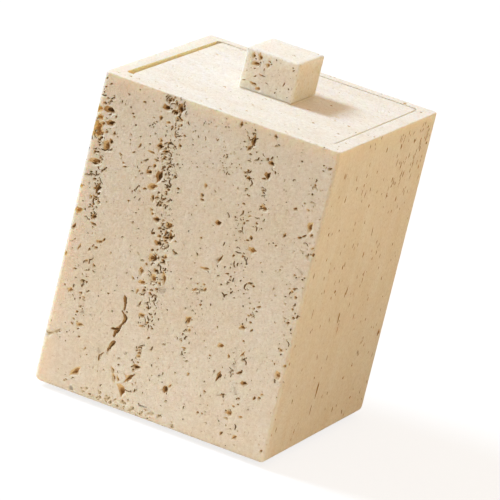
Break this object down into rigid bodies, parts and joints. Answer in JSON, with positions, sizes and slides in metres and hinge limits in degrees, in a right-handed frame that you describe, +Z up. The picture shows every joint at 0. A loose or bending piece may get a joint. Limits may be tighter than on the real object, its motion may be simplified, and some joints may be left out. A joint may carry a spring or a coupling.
{
  "type": "cotton swab holder",
  "caption": "Square stone cotton swab holder: a hollowed travertine block with a flush drop-in lid and a small block knob.",
  "frame": {"origin": "centre of the box's footprint, on the surface that its foot pads stand on", "axes": "+Z up, the way the lid lifts; the front face towards -Y; the right side towards +X"},
  "size_m": [0.08, 0.08, 0.1162],
  "materials": {
    "box_stone": "honed travertine, pores left open",
    "lid_stone": "honed travertine, pores left open",
    "knob_stone": "honed travertine, pores left open",
    "resin": "tinted stone resin",
    "pin_steel": "plain turned",
    "pad_rubber": "matt, pale"
  },
  "bodies": {
    "box": {"travertine_box": "box_stone", "foot_pad_front_left": "pad_rubber", "foot_pad_front_right": "pad_rubber", "foot_pad_back_left": "pad_rubber", "foot_pad_back_right": "pad_rubber"},
    "lid": {"lid_plate": "lid_stone", "lid_knob": "knob_stone", "knob_resin_bed": "resin", "knob_pin": "pin_steel"}
  },
  "joints": [
    {"name": "lid_lift", "type": "slide", "parent": "box", "child": "lid", "axis": [0, 0, 1], "range_m": [0, 0.1]}
  ]
}
